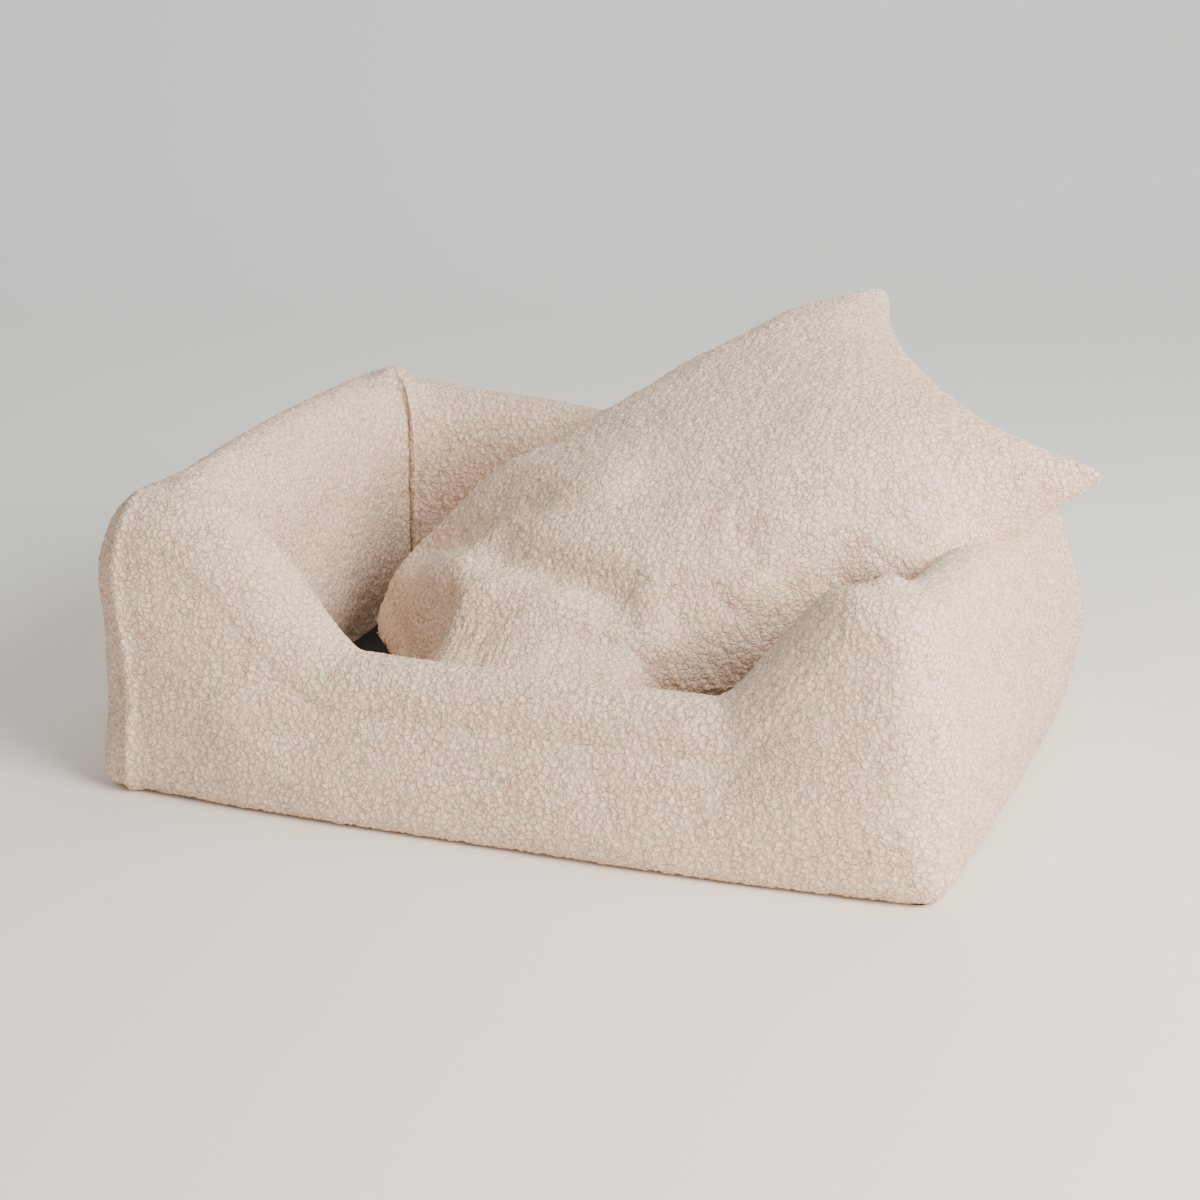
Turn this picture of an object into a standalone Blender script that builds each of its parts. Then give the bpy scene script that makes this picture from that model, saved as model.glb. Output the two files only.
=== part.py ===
"""Pet cushion bed: four foam-filled fleece walls round a flat floor, with a low entrance in the front
wall, and a loose zipped cushion whose low end lies in the bed and whose high end leans over the back and
right walls.

Metres, +Z up. The origin is the middle of the underside, +X runs along the front wall and +Y to the back."""

import bisect
import math

import bmesh
import bpy
from mathutils import Euler, Matrix, Vector
from mathutils.bvhtree import BVHTree

# Bed
BED_LENGTH = 0.790  # over the walls' feet, along X
BED_DEPTH = 0.570  # over the walls' feet, along Y
WALL_THICKNESS = 0.080
WALL_PEAK = 0.032  # from the outer face to the highest line of the rounded top
OUTER_ROUND = 0.045  # height of the rounded top on the outer side
INNER_ROUND = 0.080  # and on the inner side
SIDE_BULGE = 0.014  # how far a wall's outer face stands out at mid height
FOOT_HEIGHT = 0.060  # upright stretch at the foot of a wall
CORNER_HEIGHTS = {
    "front_left": 0.285,
    "front_right": 0.268,
    "back_right": 0.228,
    "back_left": 0.288,
}
TOP_SWELL = {  # how far a wall's top rises between its corners
    "front": 0.006,
    "right": -0.004,
    "back": -0.004,
    "left": 0.008,
}
ENTRANCE_HEIGHT = 0.152
ENTRANCE_LEFT = 0.035  # from the left wall's outer face to where the entrance starts to fall
ENTRANCE_RIGHT = 0.045
ENTRANCE_LEFT_SLOPE = 0.180  # length of the fall
ENTRANCE_RIGHT_SLOPE = 0.145
COVER_THICKNESS = 0.004  # fleece, without the curls that stand on it
FIT = 0.0003  # gap between pieces that touch

# Floor of the bed
UNDERSIDE_THICKNESS = 0.002
FLOOR_PAD_THICKNESS = 0.038
LINING_THICKNESS = 0.0015
UNDERSIDE_CORNER = 0.012

# Cushion, in its own frame: X from the low end to the high end, Z out of its upper face
CUSHION_LENGTH = 0.646
CUSHION_WIDTH = 0.440
CUSHION_TOP = 0.078  # highest point of the upper face above the seam's level
CUSHION_BOTTOM = 0.062  # and lowest point of the lower face, which the walls press flatter
CUSHION_EDGE = 0.016  # half height of the upright band at the edge
CROWN_POWER = 3.2  # how flat the middle is
CASING_THICKNESS = 0.001
LAYER_GAP = 0.0008  # between the cushion's soft layers
ZIP_END_CLEARANCE = 0.0095  # room for the zip between the cover and the insert
TWIST = 0.030  # rise of the high end's back corner, and fall of its front corner
DROOP = 0.020  # fall of the two ends below the middle, where the cushion bends over the walls
GATHER = 0.145  # how far the front wall pushes in the low end's front corner
CUSHION_FROM_RIGHT = 0.315  # from the right wall's foot to the cushion's middle
CUSHION_FROM_BACK = 0.249
CUSHION_YAW = math.radians(36.8)
CUSHION_SLOPE = math.radians(25.6)
CUSHION_ROLL = math.radians(5.0)
HIGHEST_START = 0.5  # the cushion is let down from here until it rests
REST_GAP = 0.0004

# Zips, in a frame with X along the zip, Y out of the fabric and Z across the tapes
BED_ZIP_LENGTH = 0.480
BED_ZIP_RISE = 0.033
CUSHION_ZIP_LENGTH = 0.220
SLOT_WIDTH = 0.010
TAPE_OVERLAP = 0.008  # tape past each end of the slot
TAPE_THICKNESS = 0.0008
TAPE_WIDTH = 0.0088
MIDDLE_GAP = 0.0013  # between the two halves, where the slider's web runs
COIL_WIDTH = 0.0020
COIL_HEIGHT = 0.0016
SLIDER_LENGTH = 0.011
SLIDER_WIDTH = 0.008
SLIDER_PLATE = 0.0012
SLIDER_LIP = 0.0008
STOP_LENGTH = 0.003
STOP_MARGIN = 0.001
PIN_RADIUS = 0.0006
PULL_LENGTH = 0.024
PULL_WIDTH = 0.006
PULL_THICKNESS = 0.0012
ZIP_POCKET_DEPTH = 0.0032

ARC_STEPS = 4
WALL_STATIONS = 12
FRONT_STATIONS = 24
CUSHION_STEPS_X = 14
CUSHION_STEPS_Y = 10

CREAM = (0.72, 0.63, 0.55)
WHITE_COTTON = (0.80, 0.79, 0.76)
FOAM = (0.86, 0.84, 0.74)
BLACK = (0.012, 0.012, 0.013)
TAPE_CREAM = (0.66, 0.58, 0.50)
NICKEL = (0.60, 0.59, 0.57)

for leftover in list(bpy.data.objects):
    bpy.data.objects.remove(leftover)
parts = bpy.data.collections.new("pet_cushion_bed")
cutters = bpy.data.collections.new("cutters")
for collection in (parts, cutters):
    bpy.context.scene.collection.children.link(collection)
cutters.hide_render = True


def material(name, color, roughness, metallic=0.0):
    made = bpy.data.materials.new(name)
    made.use_nodes = True
    shader = made.node_tree.nodes["Principled BSDF"]
    shader.inputs["Base Color"].default_value = (*color, 1.0)
    shader.inputs["Roughness"].default_value = roughness
    shader.inputs["Metallic"].default_value = metallic
    made.diffuse_color = (*color, 1.0)
    return made


fleece = material("sherpa_fleece", CREAM, 0.95)
foam = material("foam", FOAM, 0.90)
lining = material("black_lining", BLACK, 0.85)
non_slip = material("non_slip_fabric", BLACK, 0.70)
cotton = material("casing_cotton", WHITE_COTTON, 0.90)
filling = material("fibre_filling", WHITE_COTTON, 0.95)
tape = material("zip_tape", TAPE_CREAM, 0.85)
nylon = material("zip_coil", TAPE_CREAM, 0.50)
metal = material("zip_metal", NICKEL, 0.30, 1.0)


def smooth_step(t):
    t = min(max(t, 0.0), 1.0)
    return t * t * (3 - 2 * t)


def add_part(name, bm, finish, parent=None, collection=parts):
    """The object made of a bmesh, which is closed and has its faces turned out."""
    bmesh.ops.recalc_face_normals(bm, faces=bm.faces)
    mesh = bpy.data.meshes.new(name)
    bm.to_mesh(mesh)
    bm.free()
    made = bpy.data.objects.new(name, mesh)
    collection.objects.link(made)
    made.parent = parent
    if finish:
        mesh.materials.append(finish)
    if collection == cutters:
        made.hide_render = True
        made.display_type = "WIRE"
    return made


def add_frame(name, matrix, parent=None):
    frame = bpy.data.objects.new(name, None)
    parts.objects.link(frame)
    frame.parent = parent
    frame.matrix_local = matrix
    return frame


def box(name, low, high, finish, parent=None, collection=parts):
    bm = bmesh.new()
    size = Vector(high) - Vector(low)
    place = Matrix.Translation((Vector(low) + Vector(high)) / 2) @ Matrix.Diagonal((*size, 1))
    bmesh.ops.create_cube(bm, size=1, matrix=place)
    return add_part(name, bm, finish, parent, collection)


def cylinder(name, centre, radius, length, finish, parent, collection, segments=16):
    """A round bar along Z."""
    bm = bmesh.new()
    bmesh.ops.create_cone(
        bm,
        cap_ends=True,
        segments=segments,
        radius1=radius,
        radius2=radius,
        depth=length,
        matrix=Matrix.Translation(centre),
    )
    return add_part(name, bm, finish, parent, collection)


def combine(body, other, operation):
    modifier = body.modifiers.new(operation.lower(), "BOOLEAN")
    modifier.operation = operation
    modifier.object = other
    modifier.solver = "EXACT"


def add_quad(bm, a, b, c, d):
    """Two triangles with the split from a to c, so that nested surfaces are split alike."""
    bm.faces.new((a, b, c))
    bm.faces.new((a, c, d))


def loft(name, rings, finish, parent=None):
    """A solid through rings of equal point counts, closed by a face at each end."""
    bm = bmesh.new()
    loops = [[bm.verts.new(point) for point in ring] for ring in rings]
    count = len(rings[0])
    for one, two in zip(loops, loops[1:]):
        for i in range(count):
            j = (i + 1) % count
            add_quad(bm, one[i], one[j], two[j], two[i])
    bm.faces.new(loops[0])
    bm.faces.new(loops[-1])
    return add_part(name, bm, finish, parent)


def between(name, outer, inner, finish, parent):
    """A solid between two grids of points, closed round their borders."""
    bm = bmesh.new()
    sheets = [[[bm.verts.new(point) for point in row] for row in grid] for grid in (outer, inner)]
    last_row = len(outer) - 1
    last = len(outer[0]) - 1
    for sheet in sheets:
        for i in range(last_row):
            for j in range(last):
                add_quad(bm, sheet[i][j], sheet[i][j + 1], sheet[i + 1][j + 1], sheet[i + 1][j])
    border = [(0, j) for j in range(last)] + [(i, last) for i in range(last_row)]
    border += [(last_row, j) for j in range(last, 0, -1)] + [(i, 0) for i in range(last_row, 0, -1)]
    for (i, j), (k, m) in zip(border, border[1:] + border[:1]):
        add_quad(bm, sheets[0][i][j], sheets[0][k][m], sheets[1][k][m], sheets[1][i][j])
    bmesh.ops.remove_doubles(bm, verts=bm.verts, dist=1e-7)
    return add_part(name, bm, finish, parent)


# ---------------------------------------------------------------- walls

FLOOR_LEVEL = UNDERSIDE_THICKNESS + FIT


def level_height(corners, swell, share):
    """Top of a wall at a share of its length, from 0 at one corner to 1 at the next."""
    start, end = (CORNER_HEIGHTS[corner] for corner in corners)
    return start + (end - start) * share + swell * math.sin(math.pi * share)


def front_height(corners, swell, share):
    x = BED_LENGTH * share
    into_left = smooth_step((x - ENTRANCE_LEFT) / ENTRANCE_LEFT_SLOPE)
    into_right = smooth_step((BED_LENGTH - ENTRANCE_RIGHT - x) / ENTRANCE_RIGHT_SLOPE)
    level = level_height(corners, swell, share)
    return level - (level - ENTRANCE_HEIGHT) * into_left * into_right


def wall_section(height, bulge, inset):
    """(inward, up) points of a wall's section, from the outer foot over the rounded top to the inner foot."""
    points = [(inset, FLOOR_LEVEL), (inset, FOOT_HEIGHT)]
    for share in (0.3, 0.55, 0.8):
        rise = FOOT_HEIGHT + share * (height - OUTER_ROUND - FOOT_HEIGHT)
        points.append((inset - bulge * math.sin(math.pi * share), rise))
    inner_reach = WALL_THICKNESS - WALL_PEAK - inset
    for step in range(2 * ARC_STEPS + 1):
        angle = math.pi / 2 * (step / ARC_STEPS - 1)
        reach, fall = (WALL_PEAK - inset, OUTER_ROUND) if step < ARC_STEPS else (inner_reach, INNER_ROUND)
        inward = WALL_PEAK + reach * math.sin(angle)
        points.append((inward, height - fall + (fall - inset) * math.cos(angle)))
    points.append((WALL_THICKNESS - inset, FLOOR_LEVEL))
    return points


def wall_stations(half_length, height, corners, swell, count, inset):
    """Sections along a wall, each leaning so that the two ends are mitred."""
    stations = []
    for step in range(count + 1):
        share = step / count
        along = 2 * share - 1
        section = wall_section(height(corners, swell, share), SIDE_BULGE * (1 - along**4), inset)
        stations.append(
            [Vector((along * (half_length - inward - FIT), inward, up)) for inward, up in section]
        )
    return stations


def build_wall(side, half_length, offset, turn, corners, height=level_height, count=WALL_STATIONS):
    frame = add_frame(side + "_wall", Matrix.Rotation(turn, 4, "Z") @ Matrix.Translation((0, -offset, 0)))
    shape = (half_length, height, corners, TOP_SWELL[side], count)
    outer = wall_stations(*shape, 0)
    under = wall_stations(*shape, COVER_THICKNESS)
    cover = between(side + "_wall_cover", outer, under, fleece, frame)
    core = wall_stations(*shape, COVER_THICKNESS + FIT)
    bolster = loft(side + "_wall_foam", core, foam, frame)
    return cover, bolster


half_length = BED_LENGTH / 2
half_depth = BED_DEPTH / 2
walls = [
    build_wall(
        "front", half_length, half_depth, 0, ("front_left", "front_right"), front_height, FRONT_STATIONS
    ),
    build_wall("right", half_depth, half_length, math.pi / 2, ("front_right", "back_right")),
    build_wall("back", half_length, half_depth, math.pi, ("back_right", "back_left")),
    build_wall("left", half_depth, half_length, -math.pi / 2, ("back_left", "front_left")),
]
back_cover, back_foam = walls[2]


# ---------------------------------------------------------------- floor of the bed


def underside_outline():
    points = []
    for quarter in range(4):
        for step in range(ARC_STEPS + 1):
            angle = math.pi / 2 * (quarter + step / ARC_STEPS)
            side_x = 1 if quarter in (0, 3) else -1
            side_y = 1 if quarter in (0, 1) else -1
            points.append(
                (
                    side_x * (half_length - UNDERSIDE_CORNER) + UNDERSIDE_CORNER * math.cos(angle),
                    side_y * (half_depth - UNDERSIDE_CORNER) + UNDERSIDE_CORNER * math.sin(angle),
                )
            )
    return points


def build_floor():
    outline = underside_outline()
    loft(
        "base_underside",
        [[Vector((x, y, z)) for x, y in outline] for z in (0, UNDERSIDE_THICKNESS)],
        non_slip,
    )
    inner_x = half_length - WALL_THICKNESS - FIT
    inner_y = half_depth - WALL_THICKNESS - FIT
    top = FLOOR_LEVEL + FLOOR_PAD_THICKNESS
    box("base_pad", (-inner_x, -inner_y, FLOOR_LEVEL), (inner_x, inner_y, top), foam)
    return box(
        "base_lining",
        (-inner_x, -inner_y, top + FIT),
        (inner_x, inner_y, top + FIT + LINING_THICKNESS),
        lining,
    )


floor_lining = build_floor()


# ---------------------------------------------------------------- cushion


def cushion_marks(size, steps):
    """Positions across the cushion, closer together at the edges."""
    return [-size / 2 * math.cos(math.pi * step / steps) for step in range(steps + 1)]


CUSHION_XS = cushion_marks(CUSHION_LENGTH, CUSHION_STEPS_X)
CUSHION_YS = cushion_marks(CUSHION_WIDTH, CUSHION_STEPS_Y)


def cushion_form(x, y):
    """Levels of the seam's surface, the upper face above it and the lower face below it."""
    crown = (1 - abs(2 * x / CUSHION_LENGTH) ** CROWN_POWER) * (1 - abs(2 * y / CUSHION_WIDTH) ** CROWN_POWER)
    middle = TWIST * (x / CUSHION_LENGTH + 0.5) ** 2 * 2 * y / CUSHION_WIDTH
    middle -= DROOP * (2 * x / CUSHION_LENGTH) ** 2
    rises = (CUSHION_EDGE + (peak - CUSHION_EDGE) * crown for peak in (CUSHION_TOP, CUSHION_BOTTOM))
    return Vector((middle, *rises))


def cell_of(value, marks):
    cell = min(max(bisect.bisect_right(marks, value) - 1, 0), len(marks) - 2)
    return cell, (value - marks[cell]) / (marks[cell + 1] - marks[cell])


def faceted_form(x, y):
    """cushion_form between its marks, so that an inner layer follows the faces of the outer one."""
    i, along = cell_of(x, CUSHION_XS)
    j, across = cell_of(y, CUSHION_YS)
    near, far = (
        cushion_form(mark, CUSHION_YS[j]).lerp(cushion_form(mark, CUSHION_YS[j + 1]), across)
        for mark in (CUSHION_XS[i], CUSHION_XS[i + 1])
    )
    return near.lerp(far, along)


def cushion_grid(side, inset, zip_end_inset, rim):
    """Points of the cushion's upper (side 1) or lower (side -1) face, an inset inside it, with the edge band."""
    low_x = -CUSHION_LENGTH / 2 + zip_end_inset
    high_x = CUSHION_LENGTH / 2 - inset
    half_width = CUSHION_WIDTH / 2 - inset
    grid = []
    for i in range(-1, CUSHION_STEPS_X + 2):
        x = min(max(CUSHION_XS[min(max(i, 0), CUSHION_STEPS_X)], low_x), high_x)
        row = []
        for j in range(-1, CUSHION_STEPS_Y + 2):
            y = min(max(CUSHION_YS[min(max(j, 0), CUSHION_STEPS_Y)], -half_width), half_width)
            middle, above, below = faceted_form(x, y)
            on_band = i in (-1, CUSHION_STEPS_X + 1) or j in (-1, CUSHION_STEPS_Y + 1)
            height = rim if on_band else (above if side > 0 else below) - inset
            gather = GATHER * (0.5 - x / CUSHION_LENGTH) ** 2 * max(0, -2 * y / CUSHION_WIDTH)
            row.append(Vector((x, y + gather, middle + side * height)))
        grid.append(row)
    return grid


def build_cushion(frame):
    """Cover and casing are each an upper and a lower panel that meet along the edge."""
    casing_inset = COVER_THICKNESS + LAYER_GAP
    fill_inset = casing_inset + CASING_THICKNESS + LAYER_GAP
    panels = []
    for name, side in (("top", 1), ("bottom", -1)):
        outer = cushion_grid(side, 0, 0, FIT / 2)
        inner = cushion_grid(side, COVER_THICKNESS, COVER_THICKNESS, FIT / 2)
        panels.append(between("cushion_cover_" + name, outer, inner, fleece, frame))
        outer = cushion_grid(side, casing_inset, COVER_THICKNESS + ZIP_END_CLEARANCE, FIT / 2)
        inner_end = COVER_THICKNESS + ZIP_END_CLEARANCE + CASING_THICKNESS
        inner = cushion_grid(side, casing_inset + CASING_THICKNESS, inner_end, FIT / 2)
        between("insert_casing_" + name, outer, inner, cotton, frame)
    fill_end = COVER_THICKNESS + ZIP_END_CLEARANCE + CASING_THICKNESS + LAYER_GAP
    upper = cushion_grid(1, fill_inset, fill_end, 0)
    lower = cushion_grid(-1, fill_inset, fill_end, 0)
    between("insert_filling", upper, lower, filling, frame)
    return panels


cushion_turn = Euler((CUSHION_ROLL, -CUSHION_SLOPE, CUSHION_YAW), "XYZ").to_matrix().to_4x4()
cushion_start = (half_length - CUSHION_FROM_RIGHT, half_depth - CUSHION_FROM_BACK, HIGHEST_START)
cushion_frame = add_frame("cushion", Matrix.Translation(cushion_start) @ cushion_turn)
cushion_top, cushion_bottom = build_cushion(cushion_frame)


def fine_mesh(objects):
    """World-space points spread over the objects' faces, and a tree of those faces."""
    bm = bmesh.new()
    for made in objects:
        start = len(bm.verts)
        bm.from_mesh(made.data)
        bm.verts.ensure_lookup_table()
        bmesh.ops.transform(bm, matrix=made.matrix_world, verts=bm.verts[start:])
    bmesh.ops.triangulate(bm, faces=bm.faces)
    tree = BVHTree.FromBMesh(bm)
    bmesh.ops.subdivide_edges(bm, edges=bm.edges, cuts=5, use_grid_fill=True)
    points = [vertex.co.copy() for vertex in bm.verts]
    bm.free()
    return points, tree


def clear_drop(moving, fixed):
    """How far the moving objects can fall before they touch the fixed ones."""
    moving_points, moving_tree = fine_mesh(moving)
    fixed_points, fixed_tree = fine_mesh(fixed)
    down = Vector((0, 0, -1))
    falls = [fixed_tree.ray_cast(point, down)[3] for point in moving_points]
    falls += [moving_tree.ray_cast(point, -down)[3] for point in fixed_points]
    return min(fall for fall in falls if fall is not None)


bpy.context.view_layer.update()
wall_covers = [cover for cover, _ in walls]
fall = clear_drop([cushion_bottom, cushion_top], [*wall_covers, floor_lining])
cushion_frame.location.z -= fall - REST_GAP
bpy.context.view_layer.update()


# ---------------------------------------------------------------- zips

COIL_TOP = FIT + COIL_HEIGHT
PLATE_UNDER = COIL_TOP + FIT
PLATE_TOP = PLATE_UNDER + SLIDER_PLATE
BACK_PLATE_TOP = -TAPE_THICKNESS - FIT
PIVOT = FIT + COVER_THICKNESS + FIT + PULL_THICKNESS / 2
EYE_RADIUS = PIN_RADIUS + FIT + PULL_THICKNESS / 2
EYE_WIDTH = 0.0034
LUG_WIDTH = 0.0009
LUG_LENGTH = 0.0024
WEB_HALF = MIDDLE_GAP / 2 - FIT


def zip_reach(length):
    """From the middle of a zip to where its stops begin."""
    return length / 2 - STOP_MARGIN - STOP_LENGTH - FIT


def slider_start(length):
    """The slider's middle when the zip is closed."""
    return zip_reach(length) - SLIDER_LENGTH / 2


def build_halves(prefix, length, frame):
    reach = zip_reach(length)
    inner = MIDDLE_GAP / 2
    for name, side in (("upper", 1), ("lower", -1)):
        edges = sorted((side * inner, side * (inner + TAPE_WIDTH)))
        end = length / 2 + TAPE_OVERLAP
        box(
            f"{prefix}_zip_tape_{name}",
            (-end, -TAPE_THICKNESS, edges[0]),
            (end, 0, edges[1]),
            tape,
            frame,
        )
        edges = sorted((side * inner, side * (inner + COIL_WIDTH)))
        box(
            f"{prefix}_zip_coil_{name}",
            (-reach, FIT, edges[0]),
            (reach, COIL_TOP, edges[1]),
            nylon,
            frame,
        )
        box(
            f"{prefix}_zip_top_stop_{name}",
            (reach + FIT, FIT, edges[0]),
            (reach + FIT + STOP_LENGTH, COIL_TOP, edges[1]),
            metal,
            frame,
        )
    half = inner + COIL_WIDTH
    box(
        f"{prefix}_zip_bottom_stop",
        (-reach - FIT - STOP_LENGTH, FIT, -half),
        (-reach - FIT, COIL_TOP, half),
        metal,
        frame,
    )


def slider_half_outline():
    """(across, out) points of the slider's section, on one side of its middle."""
    half = SLIDER_WIDTH / 2
    lip_end = BACK_PLATE_TOP + 2 * TAPE_THICKNESS
    return [
        (half, PLATE_TOP),
        (half, lip_end + FIT),
        (half - SLIDER_LIP, lip_end + FIT),
        (half - SLIDER_LIP, PLATE_UNDER),
        (WEB_HALF, PLATE_UNDER),
        (WEB_HALF, BACK_PLATE_TOP),
        (half, BACK_PLATE_TOP),
        (half, BACK_PLATE_TOP - SLIDER_PLATE),
    ]


def build_slider(prefix, frame):
    outline = slider_half_outline()
    outline += [(-across, out) for across, out in reversed(outline)]
    ends = (-SLIDER_LENGTH / 2, SLIDER_LENGTH / 2)
    rings = [[Vector((x, out, across)) for across, out in outline] for x in ends]
    slider = loft(f"{prefix}_zip_slider", rings, metal, frame)
    lug_inner = EYE_WIDTH / 2 + FIT
    for side in (1, -1):
        edges = sorted((side * lug_inner, side * (lug_inner + LUG_WIDTH)))
        lug = box(
            f"{prefix}_lug_{edges[0] > 0}",
            (-LUG_LENGTH / 2, PLATE_TOP - SLIDER_PLATE / 2, edges[0]),
            (LUG_LENGTH / 2, PIVOT + 2 * PIN_RADIUS, edges[1]),
            None,
            frame,
            cutters,
        )
        combine(slider, lug, "UNION")
    pin_length = 2 * lug_inner + LUG_WIDTH
    pin = cylinder(
        f"{prefix}_pin", (0, PIVOT, 0), PIN_RADIUS, pin_length, None, frame, cutters
    )
    combine(slider, pin, "UNION")


def build_pull(prefix, pivot):
    """A flat tab with a narrow neck, whose eye turns on the slider's pin. It lies towards -X."""
    half_width = PULL_WIDTH / 2
    neck = EYE_WIDTH / 2
    wide_from = SLIDER_LENGTH / 4 + LUG_LENGTH / 2
    outline = [
        (0, neck),
        (-wide_from, neck),
        (-wide_from - neck, half_width),
        (-PULL_LENGTH + neck, half_width),
        (-PULL_LENGTH, neck),
    ]
    outline += [(x, -z) for x, z in reversed(outline)]
    faces = (-PULL_THICKNESS / 2, PULL_THICKNESS / 2)
    pull = loft(
        f"{prefix}_zip_pull", [[Vector((x, y, z)) for x, z in outline] for y in faces], metal, pivot
    )
    eye = cylinder(f"{prefix}_eye", (0, 0, 0), EYE_RADIUS, EYE_WIDTH, None, pivot, cutters)
    combine(pull, eye, "UNION")
    hole = cylinder(
        f"{prefix}_eye_hole", (0, 0, 0), PIN_RADIUS + FIT, 2 * EYE_WIDTH, None, pivot, cutters
    )
    combine(pull, hole, "DIFFERENCE")


def build_zip(prefix, length, frame):
    build_halves(prefix, length, frame)
    slide = add_frame(
        f"{prefix}_slider_frame", Matrix.Translation((slider_start(length), 0, 0)), frame
    )
    build_slider(prefix, slide)
    pivot = add_frame(f"{prefix}_pull_frame", Matrix.Translation((0, PIVOT, 0)), slide)
    build_pull(prefix, pivot)


def cut_slot(prefix, length, frame, covers):
    """The slot in the fleece where the zip shows."""
    slot = box(
        f"{prefix}_zip_slot",
        (-length / 2, -COVER_THICKNESS, -SLOT_WIDTH / 2),
        (length / 2, 3 * COVER_THICKNESS, SLOT_WIDTH / 2),
        None,
        frame,
        cutters,
    )
    for cover in covers:
        combine(cover, slot, "DIFFERENCE")


bed_zip_place = Matrix.Translation((0, half_depth - COVER_THICKNESS - FIT, BED_ZIP_RISE))
bed_zip_frame = add_frame("bed_zip", bed_zip_place)
build_zip("bed", BED_ZIP_LENGTH, bed_zip_frame)
cut_slot("bed", BED_ZIP_LENGTH, bed_zip_frame, [back_cover])
pocket_length = BED_ZIP_LENGTH / 2 + 2 * TAPE_OVERLAP
pocket_half = MIDDLE_GAP / 2 + TAPE_WIDTH + FIT
pocket = box(
    "bed_zip_pocket",
    (-pocket_length, -ZIP_POCKET_DEPTH, -pocket_half),
    (pocket_length, COVER_THICKNESS, pocket_half),
    None,
    bed_zip_frame,
    cutters,
)
combine(back_foam, pocket, "DIFFERENCE")

# The zip runs across the cushion's low end and faces out of it.
tape_face = -CUSHION_LENGTH / 2 + COVER_THICKNESS + FIT
cushion_zip_place = Matrix.Translation((tape_face, GATHER / 2, -DROOP)) @ Matrix.Rotation(math.pi / 2, 4, "Z")
cushion_zip_frame = add_frame("cushion_zip", cushion_zip_place, cushion_frame)
build_zip("cushion", CUSHION_ZIP_LENGTH, cushion_zip_frame)
cut_slot("cushion", CUSHION_ZIP_LENGTH, cushion_zip_frame, [cushion_top, cushion_bottom])
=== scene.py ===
import math

import bpy
import numpy as np
from mathutils import Euler, Matrix, Vector
from mathutils.bvhtree import BVHTree


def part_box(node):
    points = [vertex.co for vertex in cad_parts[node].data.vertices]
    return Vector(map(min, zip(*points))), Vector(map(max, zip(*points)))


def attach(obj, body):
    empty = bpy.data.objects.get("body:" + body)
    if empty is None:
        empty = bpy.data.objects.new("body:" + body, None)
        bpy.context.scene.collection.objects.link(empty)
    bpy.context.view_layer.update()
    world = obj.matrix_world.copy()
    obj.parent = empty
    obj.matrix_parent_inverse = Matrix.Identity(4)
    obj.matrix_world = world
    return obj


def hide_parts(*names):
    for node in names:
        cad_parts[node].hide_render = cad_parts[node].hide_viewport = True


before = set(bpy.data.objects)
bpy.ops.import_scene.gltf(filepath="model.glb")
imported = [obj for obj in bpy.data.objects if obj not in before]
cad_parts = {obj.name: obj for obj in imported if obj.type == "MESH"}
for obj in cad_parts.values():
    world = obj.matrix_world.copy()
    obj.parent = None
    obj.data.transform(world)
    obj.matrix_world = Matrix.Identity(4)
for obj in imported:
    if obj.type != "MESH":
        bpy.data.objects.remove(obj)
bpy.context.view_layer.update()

# ---------------------------------------------------------------- sizes, in metres

SPACING = 0.0023  # between the points of the fleece
HALF_LENGTH = 0.395  # of the bed, over the walls' feet
HALF_DEPTH = 0.285
THICKNESS = 0.080
PEAK = 0.032  # from a wall's outer face to its highest line
OUTER_ROUND = 0.045
INNER_ROUND = 0.080
FOOT = 0.0035  # lowest level of the fleece
BULGES = {"front": 0.022, "right": 0.022, "back": 0.018, "left": 0.018}  # at mid height
FOOT_BULGES = {"front": 0.024, "right": 0.018, "back": 0.010, "left": 0.010}
CORNER_HEIGHTS = {"front_left": 0.285, "front_right": 0.268, "back_right": 0.228, "back_left": 0.288}
SWELL = {"front": 0.006, "right": -0.004, "back": -0.004, "left": 0.008}
ENTRANCE_HEIGHT = 0.152
CURL = 0.0068  # across one curl of the fleece
CURL_HEIGHT = 0.0026
CURLS_PER_METRE = 165  # the shader's finer gaps
PAD_TOP = 0.0426  # the floor of the bed

# ---------------------------------------------------------------- noise


def hashed(cell, seed):
    """Three numbers from 0 to 1 for each whole-number cell."""
    x, y, z = (cell[..., i].astype(np.int64) for i in range(3))
    n = (x * 73856093) ^ (y * 19349663) ^ (z * 83492791) ^ (seed * 2654435761)
    out = []
    for k in range(3):
        n = (n ^ (n >> 13)) * 1274126177 & 0x7FFFFFFF
        n = (n ^ (n >> 16)) * (2246822519 + k) & 0x7FFFFFFF
        out.append((n & 0xFFFFFF) / float(0x1000000))
    return np.stack(out, axis=-1)


def smooth_noise(points, size, seed):
    """Value noise from -1 to 1, in three channels."""
    p = points / size
    base = np.floor(p)
    t = p - base
    t = t * t * (3 - 2 * t)
    total = 0
    for corner in range(8):
        offset = np.array([corner & 1, corner >> 1 & 1, corner >> 2 & 1])
        weight = np.prod(np.where(offset, t, 1 - t), axis=-1, keepdims=True)
        total = total + weight * hashed(base + offset, seed)
    return 2 * total - 1


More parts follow.
